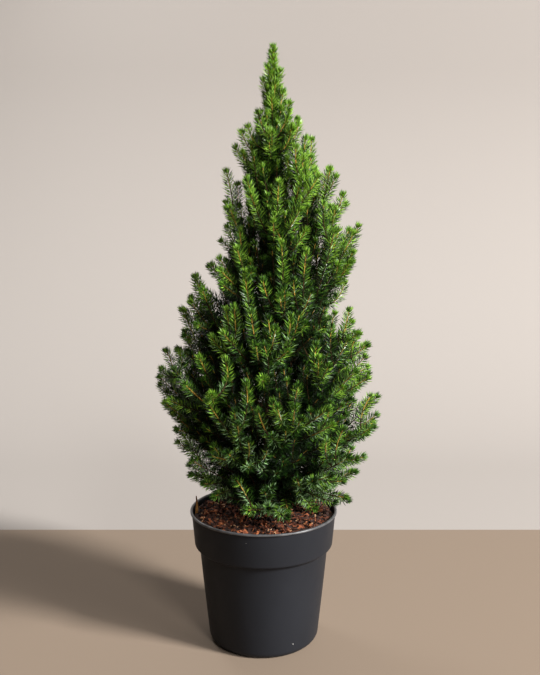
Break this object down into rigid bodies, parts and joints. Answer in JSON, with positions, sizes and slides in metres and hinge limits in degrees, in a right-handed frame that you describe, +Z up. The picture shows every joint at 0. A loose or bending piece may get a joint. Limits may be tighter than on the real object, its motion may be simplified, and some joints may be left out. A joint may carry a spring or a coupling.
{
  "type": "potted dwarf alberta spruce",
  "caption": "Small cone-shaped conifer of dense upswept needled shoots round a single straight trunk, standing in compost in a round tapered plastic nursery pot with a stepped collar.",
  "frame": {"origin": "centre of the pot's flat underside", "axes": "+Z up along the pot's axis and the trunk, -Y towards the front, +X to the right seen from the front"},
  "size_m": [0.2828, 0.2878, 0.752],
  "materials": {
    "pot": "satin",
    "compost": "rough",
    "trunk_bark": "rough",
    "bough_bark": "rough",
    "needles": "satin"
  },
  "bodies": {
    "root": {"pot": "pot", "compost": "compost", "trunk": "trunk_bark", "bough_01": "bough_bark", "bough_02": "bough_bark", "bough_03": "bough_bark", "bough_04": "bough_bark", "bough_05": "bough_bark", "bough_06": "bough_bark", "bough_07": "bough_bark", "bough_08": "bough_bark", "bough_09": "bough_bark", "bough_10": "bough_bark", "bough_11": "bough_bark", "bough_12": "bough_bark", "bough_13": "bough_bark", "bough_14": "bough_bark", "bough_15": "bough_bark", "bough_16": "bough_bark", "bough_17": "bough_bark", "bough_18": "bough_bark", "bough_19": "bough_bark", "bough_20": "bough_bark", "bough_21": "bough_bark", "foliage_01": "needles", "foliage_02": "needles", "foliage_03": "needles", "foliage_04": "needles", "foliage_05": "needles", "foliage_06": "needles", "foliage_07": "needles", "foliage_08": "needles", "foliage_09": "needles", "foliage_10": "needles", "foliage_11": "needles", "foliage_12": "needles", "foliage_13": "needles", "foliage_14": "needles", "foliage_15": "needles", "foliage_16": "needles", "foliage_17": "needles", "foliage_18": "needles", "foliage_19": "needles", "foliage_20": "needles", "foliage_21": "needles", "foliage_22": "needles", "foliage_23": "needles", "foliage_24": "needles", "foliage_25": "needles", "foliage_26": "needles", "foliage_27": "needles", "foliage_28": "needles", "foliage_29": "needles", "foliage_30": "needles", "foliage_31": "needles", "foliage_32": "needles", "foliage_33": "needles", "foliage_34": "needles", "leader_foliage": "needles"}
  },
  "joints": []
}
